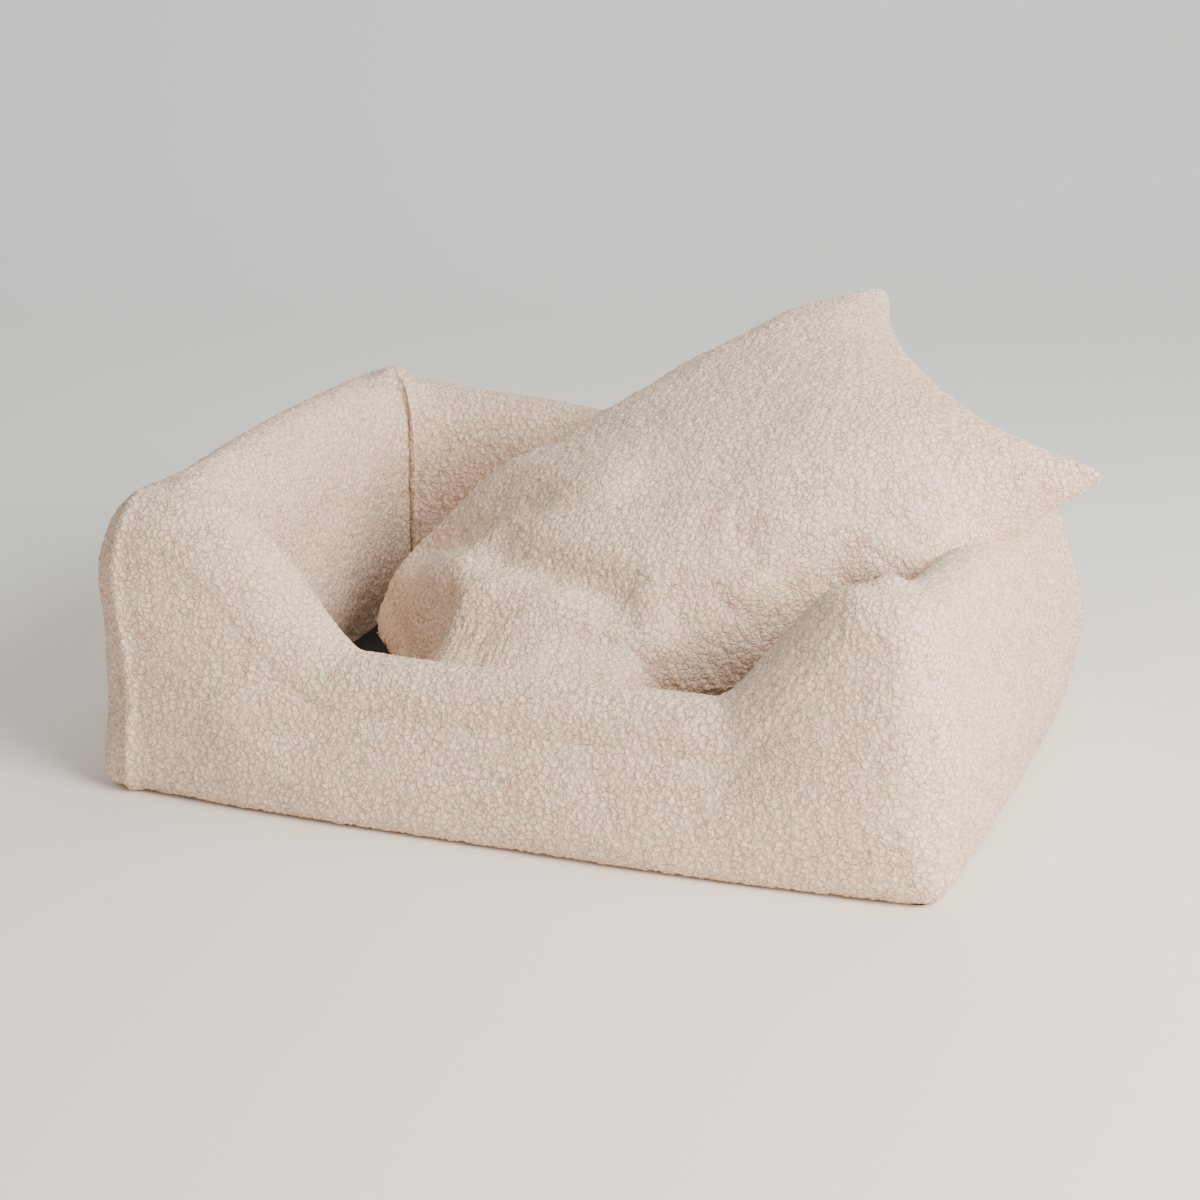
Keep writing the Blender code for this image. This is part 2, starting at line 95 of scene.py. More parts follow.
def cells(points, size, seed):
    """Distances to the nearest two of a jittered grid's points, in cell sizes, and the nearest's number."""
    p = points / size
    base = np.floor(p)
    first = np.full(len(p), 9.0)
    second = np.full(len(p), 9.0)
    tone = np.zeros(len(p))
    for dx in (-1, 0, 1):
        for dy in (-1, 0, 1):
            for dz in (-1, 0, 1):
                cell = base + (dx, dy, dz)
                jitter = hashed(cell, seed)
                gap = np.linalg.norm(cell + 0.1 + 0.8 * jitter - p, axis=1)
                nearer = gap < first
                second = np.where(nearer, first, np.minimum(second, gap))
                tone = np.where(nearer, jitter[:, 0], tone)
                first = np.where(nearer, gap, first)
    return first, second, tone


def curls(points):
    """(height from 0 to 1, tone from 0 to 1) of the fleece's curls at each point."""
    bent = points + 0.0022 * smooth_noise(points, 0.0080, 3) + 0.0008 * smooth_noise(points, 0.0031, 5)
    first, second, tone = cells(bent, CURL, 11)
    edge = np.clip((second - first) / 0.55, 0, 1)
    dome = np.clip(1 - first / 1.05, 0, 1)
    height = 0.62 * np.sqrt(edge) + 0.38 * dome
    height *= 0.78 + 0.44 * tone
    return np.clip(height, 0, 1.2), tone


# ---------------------------------------------------------------- meshes


def make_mesh(name, points, faces):
    mesh = bpy.data.meshes.new(name)
    mesh.from_pydata([tuple(p) for p in points], [], faces)
    mesh.validate()
    mesh.update()
    made = bpy.data.objects.new(name, mesh)
    bpy.context.scene.collection.objects.link(made)
    mesh.polygons.foreach_set("use_smooth", [True] * len(mesh.polygons))
    return made


def coordinates(made):
    flat = np.empty(len(made.data.vertices) * 3, np.float32)
    made.data.vertices.foreach_get("co", flat)
    return flat.reshape(-1, 3).astype(float)


def normals(made):
    flat = np.empty(len(made.data.vertices) * 3, np.float32)
    made.data.vertices.foreach_get("normal", flat)
    return flat.reshape(-1, 3).astype(float)


def move_points(made, points):
    made.data.vertices.foreach_set("co", points.astype(np.float32).ravel())
    made.data.update()


def store(made, name, values):
    kind = "FLOAT_VECTOR" if values.ndim > 1 else "FLOAT"
    attribute = made.data.attributes.new(name, kind, "POINT")
    attribute.data.foreach_set("vector" if values.ndim > 1 else "value", values.astype(np.float32).ravel())


def grow_fleece(made, strength, out):
    """Raises the curls out of a smooth surface and stores what the fleece's material reads."""
    points = coordinates(made)
    height, tone = curls(points)
    height = height * strength
    store(made, "rest", points)
    # the fleece material paints higher curls lighter and lower ones darker from this height, as painted light
    # and shade
    store(made, "curl", height)
    store(made, "tone", tone)
    store(made, "pile", strength)
    raised = points + out * (CURL_HEIGHT * (height - 0.45 * strength))[:, None]
    raised[:, 2] = np.maximum(raised[:, 2], 0.0006) if made["on_floor"] else raised[:, 2]
    move_points(made, raised)


# ---------------------------------------------------------------- walls


def smooth_step(value):
    value = np.clip(value, 0, 1)
    return value * value * (3 - 2 * value)


def wall_top(side, corners, share):
    start, end = (CORNER_HEIGHTS[corner] for corner in corners)
    level = start + (end - start) * share + SWELL[side] * np.sin(np.pi * share)
    if side == "front":
        x = 2 * HALF_LENGTH * share
        fall = smooth_step((x - 0.035) / 0.180) * smooth_step((2 * HALF_LENGTH - 0.045 - x) / 0.145)
        level = level - (level - ENTRANCE_HEIGHT) * fall
    return level


def section(height, bulge, foot_bulge):
    """(inward, up) rows of a wall's section from the outer foot over the top to the inner foot."""
    rows = []
    outer = height - OUTER_ROUND
    inner = height - INNER_ROUND
    for t in np.linspace(0, 1, 60, endpoint=False):
        up = FOOT + (outer - FOOT) * t
        tuck = 0.006 * np.clip(1 - (up - FOOT) / 0.012, 0, 1) ** 2
        swell = foot_bulge * (1 - t) ** 1.5 + (bulge - 0.4 * foot_bulge) * np.sin(np.pi * t)
        rows.append((tuck - swell, up))
    for t in np.linspace(0, 1, 30, endpoint=False):
        angle = np.pi / 2 * (t - 1)
        rows.append((PEAK + PEAK * np.sin(angle), outer + OUTER_ROUND * np.cos(angle)))
    for t in np.linspace(0, 1, 40, endpoint=False):
        angle = np.pi / 2 * t
        rows.append((PEAK + (THICKNESS - PEAK) * np.sin(angle), inner + INNER_ROUND * np.cos(angle)))
    for t in np.linspace(0, 1, 50):
        rows.append((THICKNESS, inner + (FOOT - inner) * t))
    inward = np.stack([np.broadcast_to(row[0], height.shape) for row in rows], axis=1)
    up = np.stack([np.broadcast_to(row[1], height.shape) for row in rows], axis=1)
    return inward, up


def even_rows(inward, up, count):
    """The section's polylines at evenly spaced points."""
    steps = np.hypot(np.diff(inward, axis=1), np.diff(up, axis=1))
    run = np.concatenate([np.zeros((len(steps), 1)), np.cumsum(steps, axis=1)], axis=1)
    at = np.linspace(0, 1, count)
    new_inward = np.empty((len(run), count))
    new_up = np.empty((len(run), count))
    for i, line in enumerate(run):
        new_inward[i] = np.interp(at * line[-1], line, inward[i])
        new_up[i] = np.interp(at * line[-1], line, up[i])
    return new_inward, new_up


def corner_radius(inward, up):
    outer = 0.008 + 0.038 * smooth_step(up / 0.110)
    return np.clip(outer - 0.42 * inward, 0.008, 0.050)


def grid_normals(points):
    """Outward unit normals of a grid of points, from its rows and columns alone."""
    facing = np.cross(np.gradient(points, axis=1), np.gradient(points, axis=0))
    return facing / np.maximum(np.linalg.norm(facing, axis=-1, keepdims=True), 1e-12)


def build_wall(side, half, offset, turn, corners):
    """One wall's cover. Its ends lie on the mitre planes, in the middle of the rounded corners."""
    columns = int(2 * half / SPACING)
    along = np.linspace(-1, 1, columns + 1)
    height = wall_top(side, corners, (along + 1) / 2)
    for corner, end in zip(corners, (-1, 1)):
        if corner in ("front_left", "back_left"):
            height = height + 0.005 * np.exp(-((np.abs(along - end) * half / 0.030) ** 2))
    middle = 1 - along**4
    bulge = BULGES[side] * (0.55 + 0.45 * middle)
    foot_bulge = FOOT_BULGES[side] * (0.12 + 0.88 * middle)
    inward, up = even_rows(*section(height, bulge, foot_bulge), int(0.56 / SPACING))
    radius = corner_radius(inward, up)
    straight = half - inward - radius
    arc = np.pi / 4 * radius
    run = np.abs(along)[:, None] * (straight + arc)
    angle = np.clip((run - straight) / radius, 0, None)
    x = np.where(angle > 0, straight + radius * np.sin(angle), run) * np.sign(along)[:, None]
    y = inward + radius * (1 - np.cos(angle))
    points = np.stack([x, y - offset, up], axis=-1)
    cos, sin = math.cos(turn), math.sin(turn)
    points = points @ np.array([[cos, sin, 0], [-sin, cos, 0], [0, 0, 1]])
    rows = points.shape[1]
    faces = [
        (i * rows + j, i * rows + j + 1, (i + 1) * rows + j + 1, (i + 1) * rows + j)
        for i in range(columns)
        for j in range(rows - 1)
    ]
    faces += [(i * rows, (i + 1) * rows, (i + 2) * rows - 1, (i + 1) * rows - 1) for i in range(columns)]
    faces.append(tuple(range(rows - 1, -1, -1)))
    faces.append(tuple(columns * rows + j for j in range(rows)))
    made = make_mesh(side + "_wall_fleece", points.reshape(-1, 3), faces)
    column = np.array([edge.vertices[:] for edge in made.data.edges]) // rows
    ends = (column[:, 0] == column[:, 1]) & ((column[:, 0] == 0) | (column[:, 0] == columns))
    made.data.attributes.new("sharp_edge", "BOOLEAN", "EDGE").data.foreach_set("value", ends)
    mitre = ((1 - np.abs(along))[:, None] * (straight + arc)).ravel()
    shape_wall(made, side, points, inward.ravel(), x.ravel(), mitre, half)
    return made


def mitred_normals(points):
    """Outward normals of a wall, which at each end lie in its mitre plane."""
    facing = grid_normals(points)
    for end in (0, -1):
        plane = np.array((np.sign(points[end, :, 1]), -np.sign(points[end, :, 0]), 0 * points[end, :, 0])).T
        plane /= math.sqrt(2)
        flat = facing[end] - np.sum(facing[end] * plane, axis=1, keepdims=True) * plane
        facing[end] = flat / np.linalg.norm(flat, axis=1, keepdims=True)
    return facing.reshape(-1, 3)


ZIP_END = 0.228  # where the bed's slider stands, to either side

# Where a stuffed corner stands out: middle, move and width
SWELLINGS = [
    ((-0.390, -0.270, 0.215), (-0.022, -0.006, 0.006), 0.065),
    ((-0.390, -0.285, 0.020), (-0.012, -0.006, 0.0), 0.050),
    ((-0.400, -0.250, 0.110), (-0.012, 0.0, 0.0), 0.070),
    ((0.395, 0.275, 0.120), (0.010, 0.004, 0.0), 0.070),
    ((0.385, -0.280, 0.010), (0.006, -0.004, 0.0), 0.050),
]


def swollen(points):
    """Points moved by the swellings near them."""
    for place, move, width in SWELLINGS:
        gap = np.linalg.norm(points - place, axis=1)
        points = points + np.exp(-((gap / width) ** 2))[:, None] * np.array(move)
    return points


def shape_wall(made, side, grid, inward, x, mitre, half):
    """Seam grooves, slight unevenness and then the curls."""
    points = grid.reshape(-1, 3).copy()
    out = mitred_normals(grid)
    inner = smooth_step((inward - PEAK) / 0.020)
    deep = smooth_step((inward - 0.045) / 0.025)
    sink = 0.007 * deep * np.exp(-((mitre / 0.006) ** 2)) + 0.016 * inner * np.exp(-((mitre / 0.030) ** 2))
    if side == "front":
        sink += 0.0045 * (1 - inner) * np.exp(-(((x + half - 0.026) / 0.006) ** 2))
    uneven = smooth_noise(points, 0.085, 21)[:, 0] * 0.0028 + smooth_noise(points, 0.034, 22)[:, 0] * 0.0011
    uneven *= smooth_step(points[:, 2] / 0.030)
    points += out * (uneven - sink - 0.0008)[:, None]
    points = swollen(points)
    strength = np.ones(len(points))
    if side == "back":
        off_zip = np.hypot(np.maximum(np.abs(x) - 0.238, 0), points[:, 2] - 0.033)
        near = (1 - smooth_step((off_zip - 0.0052) / 0.0022)) * (1 - inner)
        points[:, 1] -= near * np.maximum(points[:, 1] - (HALF_DEPTH - 0.0054), 0)
        off_pull = np.hypot(np.abs(x) - ZIP_END, points[:, 2] - np.clip(points[:, 2], 0.033, 0.066))
        hollow = (1 - smooth_step((off_pull - 0.009) / 0.010)) * (1 - inner)
        points[:, 1] -= hollow * np.maximum(points[:, 1] - (HALF_DEPTH - 0.0040), 0)
        strength = (1 - near) * (1 - hollow)
    move_points(made, points)
    made["on_floor"] = True
    smooth_trees.append(tree_of(made))
    grow_fleece(made, strength, mitred_normals(points.reshape(grid.shape)))
    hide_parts(side + "_wall_cover", side + "_wall_foam")
    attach(made, "root")


# ---------------------------------------------------------------- cushion

CUSHION_FROM_RIGHT = 0.315  # from the right wall's foot to the cushion's middle
CUSHION_FROM_BACK = 0.249
CUSHION_YAW = math.radians(36.8)
CUSHION_SLOPE = math.radians(25.6)
CUSHION_ROLL = math.radians(5.0)
CUSHION_LENGTH = 0.646
CUSHION_WIDTH = 0.440
CUSHION_TOP = 0.094
CUSHION_UNDER = 0.064
RIM = 0.015  # half thickness just inside the seam
GATHER = 0.145  # how far the front wall pushes in the low end's front corner
LONG_CELLS = 76
CROSS_CELLS = 52
ZIP_PLACE = (-0.3187, 0.0725, -0.020)  # middle of the cushion's zip
ZIP_HALF = 0.110
CUSHION_COIL_LENGTH = 0.211
TAPE_MIDDLE = 0.0004  # from the zip's plane to the middle of its tapes
LIP_DEPTH = 0.014  # how far the fleece hangs over the zip
WALL_GAP = 0.0022  # between the cushion and a wall, before the curls
FLOOR_GAP = 0.0030  # between the cushion and the bed's floor
PUSH_ROUNDS = (60, 24, 8, 3)  # smoothing of each push away from the walls
FLOOR_ROUND = 0.004  # how softly the underside meets the bed's floor
SIM_FRAMES = 16
SIM_CAP = 0.012  # most that a point may move

# Valleys (positive) and ridges (negative) in the upper face: start, end, width, depth
FOLDS = [
    ((-0.200, -0.010), (-0.130, -0.150), 0.024, 0.014),
    ((-0.240, 0.130), (-0.200, 0.080), 0.030, 0.011),
    ((-0.160, 0.190), (-0.070, -0.020), 0.034, -0.009),
    ((-0.255, 0.050), (-0.235, -0.060), 0.032, -0.010),
]


def cushion_frame():
    """Where the cushion rests: its angles, and the height at which the frame holds its zip's tapes."""
    turn = Euler((CUSHION_ROLL, -CUSHION_SLOPE, CUSHION_YAW), "XYZ").to_matrix()
    boxes = [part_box("cushion_zip_tape_" + name) for name in ("upper", "lower")]
    tapes_level = (min(low.z for low, _ in boxes) + max(high.z for _, high in boxes)) / 2
    tapes = Vector(ZIP_PLACE) + Vector((TAPE_MIDDLE, 0, 0))
    place = (HALF_LENGTH - CUSHION_FROM_RIGHT, HALF_DEPTH - CUSHION_FROM_BACK, tapes_level - (turn @ tapes).z)
    return Matrix.Translation(place) @ turn.to_4x4()


def spread(count):
    """Places from -0.5 to 0.5, closer together at the ends."""
    t = np.linspace(-1, 1, count + 1)
    return 0.5 * (0.45 * t + 0.55 * np.sin(np.pi / 2 * t))


def fold(x, y, start, end, width):
    """1 on a line across the cushion, falling off all round."""
    place = np.stack([x, y], axis=-1)
    start, run = np.array(start), np.subtract(end, start)
    share = np.clip((place - start) @ run / (run @ run), 0, 1)
    gap = np.linalg.norm(place - start - share[:, None] * run, axis=1)
    return np.exp(-((gap / width) ** 2))


def cushion_shape(x, y, side):
    """Points of the stuffed cushion: domed faces, a soft rim, and edges that pull in between the corners."""
    u, v = 2 * x / CUSHION_LENGTH, 2 * y / CUSHION_WIDTH
    high_end = np.clip(1 - np.abs(u) ** 3.2, 0, 1) ** 0.75
    low_end = np.clip(1 - np.abs(u) ** 4, 0, 1) ** 0.5
    along = np.where(u > 0, high_end, low_end)
    crown = along * np.clip(1 - np.abs(v) ** 4, 0, 1) ** 0.5 * (1 - 0.10 * v**2)
    rim = np.where(u < 0, 0.016, RIM) * np.sqrt(np.clip((1 - np.abs(u) ** 60) * (1 - np.abs(v) ** 60), 0, 1))
    height = np.where(side > 0, CUSHION_TOP, CUSHION_UNDER)
    rise = side * (rim + (height - RIM) * crown)
    for start, end, width, depth in FOLDS:
        rise -= np.where(side > 0, depth, 0) * fold(x, y, start, end, width)
    high = smooth_step(0.5 + u)
    pulled_x = x - np.sign(x) * np.abs(u) ** 3 * (1 - v**2) * 0.036 * high
    pulled_y = y - np.sign(y) * np.abs(v) ** 3 * (1 - u**4) * 0.013
    pushed = GATHER * (0.5 - x / CUSHION_LENGTH) ** 4 * np.maximum(0, -v)
    level = 0.030 * (x / CUSHION_LENGTH + 0.5) ** 2 * v - 0.020 * u**2
    level -= 0.036 * smooth_step(-v) * np.exp(-(((x + 0.09) / 0.14) ** 2))
    corner = np.abs(u * v) ** 6
    reach_x = corner * np.where(u > 0, 0.012, 0.026)
    reach_y = corner * np.where(u > 0, 0.010, -0.018) * np.sign(y)
    return np.stack([pulled_x + reach_x, pulled_y + pushed + reach_y, level + rise], axis=-1)


def cushion_cells():
    """(faces, x, y, side) of two panels sewn together along their border."""
    xs, ys = np.meshgrid(spread(LONG_CELLS), spread(CROSS_CELLS), indexing="ij")
    index = np.arange(xs.size).reshape(xs.shape)
    border = (np.abs(xs) > 0.4999) | (np.abs(ys) > 0.4999)
    other = np.where(border, index, index + xs.size)
    faces = []
    for i in range(LONG_CELLS):
        for j in range(CROSS_CELLS):
            faces.append((index[i, j], index[i + 1, j], index[i + 1, j + 1], index[i, j + 1]))
            faces.append((other[i, j], other[i, j + 1], other[i + 1, j + 1], other[i + 1, j]))
    used = np.unique(np.array(faces))
    renumber = np.full(2 * xs.size, -1)
    renumber[used] = np.arange(len(used))
    faces = [tuple(int(renumber[k]) for k in face) for face in faces]
    at = used % xs.size
    side = np.where(border.ravel()[at], 0.0, np.where(used < xs.size, 1.0, -1.0))
    return faces, xs.ravel()[at] * CUSHION_LENGTH, ys.ravel()[at] * CUSHION_WIDTH, side


def inflate(made, frames, shrink, cap):
    """Tightens a stuffed piece's fabric round its filling and returns where its points come to rest."""
    start = coordinates(made)
    cloth = made.modifiers.new("cloth", "CLOTH")
    settings = cloth.settings
    settings.quality = 6
    settings.mass = 0.02
    settings.tension_stiffness = 30
    settings.compression_stiffness = 8
    settings.shear_stiffness = 5
    settings.bending_stiffness = 0.15
    settings.air_damping = 2
    settings.shrink_min = shrink
    settings.use_pressure = True
    settings.uniform_pressure_force = 0.6
    settings.effector_weights.gravity = 0
    scene = bpy.context.scene
    cloth.point_cache.frame_start, cloth.point_cache.frame_end = 1, frames
    for number in range(1, frames + 1):
        scene.frame_set(number)
    evaluated = made.evaluated_get(bpy.context.evaluated_depsgraph_get())
    flat = np.empty(len(start) * 3, np.float32)
    evaluated.data.vertices.foreach_get("co", flat)
    made.modifiers.remove(cloth)
    scene.frame_set(1)
    move = flat.reshape(-1, 3).astype(float) - start
    length = np.linalg.norm(move, axis=1, keepdims=True)
    return start + move * np.minimum(1, cap / np.maximum(length, 1e-9))


def tree_of(made):
    """A tree of the smooth faces of a piece, for finding what lies inside it."""
    points = [Vector(p) for p in coordinates(made)]
    return BVHTree.FromPolygons(points, [tuple(face.vertices) for face in made.data.polygons])


def push_out(points, trees, gap):
    """World points moved out of the pieces that they would lie in."""
    for tree in trees:
        for i, point in enumerate(points):
            place, facing, _, distance = tree.find_nearest(Vector(point), 0.045)
            if place is None:
                continue
            depth = (Vector(point) - place).dot(facing)
            if depth < gap:
                points[i] = place + facing * gap
    return points


def smoothed(made, values, weight, rounds):
    """Columns of values drawn towards the mean of their neighbours, by a weight for each point."""
    ends = np.array([edge.vertices[:] for edge in made.data.edges])
    here, there = np.concatenate([ends[:, 0], ends[:, 1]]), np.concatenate([ends[:, 1], ends[:, 0]])
    size = len(values)
    count = np.bincount(here, minlength=size)
    for _ in range(rounds):
        columns = [np.bincount(here, values[there, k], size) / count for k in range(values.shape[1])]
        values = values + weight[:, None] * (np.stack(columns, axis=1) - values)
    return values


def build_cushion(trees):
    faces, x, y, side = cushion_cells()
    made = make_mesh("cushion_fleece", cushion_shape(x, y, side), faces)
    move_points(made, inflate(made, SIM_FRAMES, 0.02, SIM_CAP))
    subdivide = made.modifiers.new("subdivide", "SUBSURF")
    subdivide.levels = subdivide.render_levels = 2
    bpy.context.view_layer.objects.active = made
    bpy.ops.object.modifier_apply(modifier="subdivide")
    local = coordinates(made)
    uneven = smooth_noise(local, 0.070, 31)[:, 0] * 0.0022 + smooth_noise(local, 0.030, 32)[:, 0] * 0.0010
    local += normals(made) * uneven[:, None]
    along = np.abs(local[:, 1] - ZIP_PLACE[1])
    across = np.hypot(np.maximum(along - ZIP_HALF, 0), local[:, 2] - ZIP_PLACE[2])
    slot = (1 - smooth_step((across - 0.0068) / 0.0022)) * (local[:, 0] < -0.30)
    local[:, 0] += slot * np.maximum(ZIP_PLACE[0] + 0.0030 - local[:, 0], 0)
    lip = smooth_step((-0.290 - local[:, 0]) / 0.020) * smooth_step((local[:, 2] + 0.011) / 0.008)
    lip *= smooth_step((0.028 - local[:, 2]) / 0.020)
    lip *= smooth_step((0.150 - np.abs(local[:, 1] - 0.060)) / 0.040)
    local[:, 0] -= LIP_DEPTH * lip
    place = cushion_frame()
    world = local @ np.array(place.to_3x3()).T + np.array(place.translation)
    every = np.ones(len(world))
    for rounds in PUSH_ROUNDS:
        pushed = np.array(push_out([Vector(p) for p in world], trees, WALL_GAP))
        world = world + smoothed(made, pushed - world, every, rounds)
    above = world[:, 2] - (PAD_TOP + FLOOR_GAP)
    world[:, 2] += FLOOR_ROUND * np.logaddexp(0, -above / FLOOR_ROUND)
    move_points(made, world)
    made["on_floor"] = False
    grow_fleece(made, 1 - slot, normals(made))
    hidden = ("insert_casing_top", "insert_casing_bottom", "insert_filling")
    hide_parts("cushion_cover_top", "cushion_cover_bottom", *hidden)
    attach(made, "cushion")
    return made


# ---------------------------------------------------------------- materials


def node(tree, kind, links=(), **settings):
    """One shader node, its settings, its input values by name, and its links as (input, socket)."""
    made = tree.nodes.new(kind)
    values = settings.pop("values", {})
    for key, value in settings.items():
        setattr(made, key, value)
    for key, value in values.items():
        made.inputs[key].default_value = value
    for key, socket in links:
        tree.links.new(socket, made.inputs[key])
    return made


def material(name, color, roughness, metallic=0.0, sheen=0.0):
    made = bpy.data.materials.new(name)
    made.use_nodes = True
    shader = made.node_tree.nodes["Principled BSDF"]
    shader.inputs["Base Color"].default_value = (*color, 1)
    shader.inputs["Roughness"].default_value = roughness
    shader.inputs["Metallic"].default_value = metallic
    shader.inputs["Sheen Weight"].default_value = sheen
    return made, made.node_tree, shader


def ramp(tree, factor, stops):
    made = tree.nodes.new("ShaderNodeValToRGB")
    elements = made.color_ramp.elements
    for i, (position, color) in enumerate(stops):
        element = elements[i] if i < 2 else elements.new(position)
        element.position = position
        element.color = (*color, 1)
    tree.links.new(factor, made.inputs["Fac"])
    return made.outputs["Color"]


def fleece_material():
    """Curly pile of cream curls: the gaps between curls are lower and painted darker and browner as painted
    shade, and the curl tops are painted lighter as painted light.
    """
    made, tree, shader = material("sherpa_fleece_pile", (0.7, 0.6, 0.52), 1.0, sheen=0.12)
    shader.inputs["Sheen Roughness"].default_value = 0.6
    shader.inputs["Sheen Tint"].default_value = (1.0, 0.93, 0.86, 1)
    shader.inputs["Specular IOR Level"].default_value = 0.12
    rest = node(tree, "ShaderNodeAttribute", attribute_name="rest").outputs["Vector"]
    curl = node(tree, "ShaderNodeAttribute", attribute_name="curl").outputs["Fac"]
    bent = {"Scale": 170, "Detail": 2, "Roughness": 0.6}
    bend = node(tree, "ShaderNodeTexNoise", [("Vector", rest)], values=bent).outputs["Color"]
    moved = node(tree, "ShaderNodeVectorMath", [(0, bend), (2, rest)], operation="MULTIPLY_ADD")
    moved.inputs[1].default_value = (0.0075, 0.0075, 0.0075)
    edges = node(
        tree,
        "ShaderNodeTexVoronoi",
        [("Vector", moved.outputs[0])],
        feature="DISTANCE_TO_EDGE",
        values={"Scale": CURLS_PER_METRE, "Randomness": 1.0},
    ).outputs["Distance"]
    hills = node(
        tree, "ShaderNodeTexVoronoi", [("Vector", moved.outputs[0])],
        values={"Scale": CURLS_PER_METRE, "Randomness": 1.0},
    )
    fine = {"Scale": 950, "Detail": 3, "Roughness": 0.7}
    fibre = node(tree, "ShaderNodeTexNoise", [("Vector", rest)], values=fine)
    patches = node(tree, "ShaderNodeTexNoise", [("Vector", rest)], values={"Scale": 28, "Detail": 2})
    gap = node(tree, "ShaderNodeMapRange", [("Value", edges)], interpolation_type="SMOOTHSTEP")
    gap.inputs["From Max"].default_value = 0.15
    closed = node(tree, "ShaderNodeTexNoise", [("Vector", rest)], values={"Scale": 75, "Detail": 2})
    pressed = node(
        tree, "ShaderNodeMapRange", [("Value", closed.outputs["Fac"])], interpolation_type="SMOOTHSTEP"
    )
    pressed.inputs["From Min"].default_value = 0.42
    pressed.inputs["From Max"].default_value = 0.72
    pair = [("Factor", pressed.outputs["Result"]), ("A", gap.outputs["Result"])]
    # painted shade in the gaps between curls, weaker where the pile lies pressed flat
    gap_shade = node(tree, "ShaderNodeMix", pair, data_type="FLOAT")
    gap_shade.inputs["B"].default_value = 0.75
    # painted light: higher curls are painted lighter
    curl_top_light = node(tree, "ShaderNodeMath", [(0, curl)], operation="MULTIPLY")
    curl_top_light.inputs[1].default_value = 0.40
    pair = [(0, gap_shade.outputs[0]), (2, curl_top_light.outputs[0])]
    gap_and_curl_shade = node(tree, "ShaderNodeMath", pair, operation="MULTIPLY_ADD")
    gap_and_curl_shade.inputs[1].default_value = 0.42
    # fine fibre specks of real tone, added to the painted gap shade and curl-top light
    pair = [(0, fibre.outputs["Fac"]), (2, gap_and_curl_shade.outputs[0])]
    speck_and_gap_shade = node(tree, "ShaderNodeMath", pair, operation="MULTIPLY_ADD")
    speck_and_gap_shade.inputs[1].default_value = 0.34
    # the dark brown stops are painted shade in the gaps and low curls, the light stops painted light on the
    # curl tops
    shade = ramp(
        tree,
        speck_and_gap_shade.outputs[0],
        [
            (0.16, (0.400, 0.245, 0.150)),
            (0.98, (0.930, 0.762, 0.610)),
            (0.42, (0.690, 0.480, 0.340)),
            (0.70, (0.870, 0.680, 0.520)),
        ],
    )
    tint = ramp(tree, patches.outputs["Fac"], [(0.3, (0.955, 0.935, 0.915)), (0.7, (1.0, 1.0, 1.0))])
    mixed = node(tree, "ShaderNodeMix", data_type="RGBA", blend_type="MULTIPLY")
    mixed.inputs["Factor"].default_value = 1.0
    tree.links.new(shade, mixed.inputs[6])
    tree.links.new(tint, mixed.inputs[7])
    tree.links.new(mixed.outputs[2], shader.inputs["Base Color"])
    curl_bump = node(
        tree,
        "ShaderNodeBump",
        [("Height", hills.outputs["Distance"])],
        invert=True,
        values={"Strength": 0.55, "Distance": 0.0020},
    )
    gap_bump = node(
        tree,
        "ShaderNodeBump",
        [("Height", gap.outputs["Result"]), ("Normal", curl_bump.outputs["Normal"])],
        values={"Strength": 0.55, "Distance": 0.0012},
    )
    fibre_bump = node(
        tree,
        "ShaderNodeBump",
        [("Height", fibre.outputs["Fac"]), ("Normal", gap_bump.outputs["Normal"])],
        values={"Strength": 0.55, "Distance": 0.0007},
    )
    tree.links.new(fibre_bump.outputs["Normal"], shader.inputs["Normal"])
    return made


def black_fabric(name, dots):
    """Plain weave, with small rubber dots where the fabric grips the floor."""
    made, tree, shader = material(name, (0.006, 0.006, 0.007), 0.9, sheen=0.05)
    place = node(tree, "ShaderNodeNewGeometry").outputs["Position"]
    threads = [
        node(
            tree,
            "ShaderNodeTexWave",
            [("Vector", place)],
            bands_direction=axis,
            values={"Scale": 260, "Distortion": 1.2, "Detail": 1},
        ).outputs["Fac"]
        for axis in ("X", "Y")
    ]
    weave = node(tree, "ShaderNodeMath", [(0, threads[0]), (1, threads[1])], operation="MULTIPLY")
    color = ramp(tree, weave.outputs[0], [(0.1, (0.007, 0.007, 0.008)), (0.9, (0.028, 0.028, 0.030))])
    bump = node(
        tree, "ShaderNodeBump", [("Height", weave.outputs[0])], values={"Strength": 0.6, "Distance": 0.0005}
    )
    if dots:
        even = {"Scale": 90, "Randomness": 0.0}
        spots = node(tree, "ShaderNodeTexVoronoi", [("Vector", place)], values=even)
        inside = node(tree, "ShaderNodeMath", [(0, spots.outputs["Distance"])], operation="LESS_THAN")
        inside.inputs[1].default_value = 0.30
        mixed = node(tree, "ShaderNodeMix", [("Factor", inside.outputs[0])], data_type="RGBA")
        tree.links.new(color, mixed.inputs[6])
        mixed.inputs[7].default_value = (0.045, 0.045, 0.048, 1)
        color = mixed.outputs[2]
        bump = node(
            tree,
            "ShaderNodeBump",
            [("Height", inside.outputs[0]), ("Normal", bump.outputs["Normal"])],
            values={"Strength": 0.7, "Distance": 0.0006},
        )
    tree.links.new(color, shader.inputs["Base Color"])
    tree.links.new(bump.outputs["Normal"], shader.inputs["Normal"])
    return made


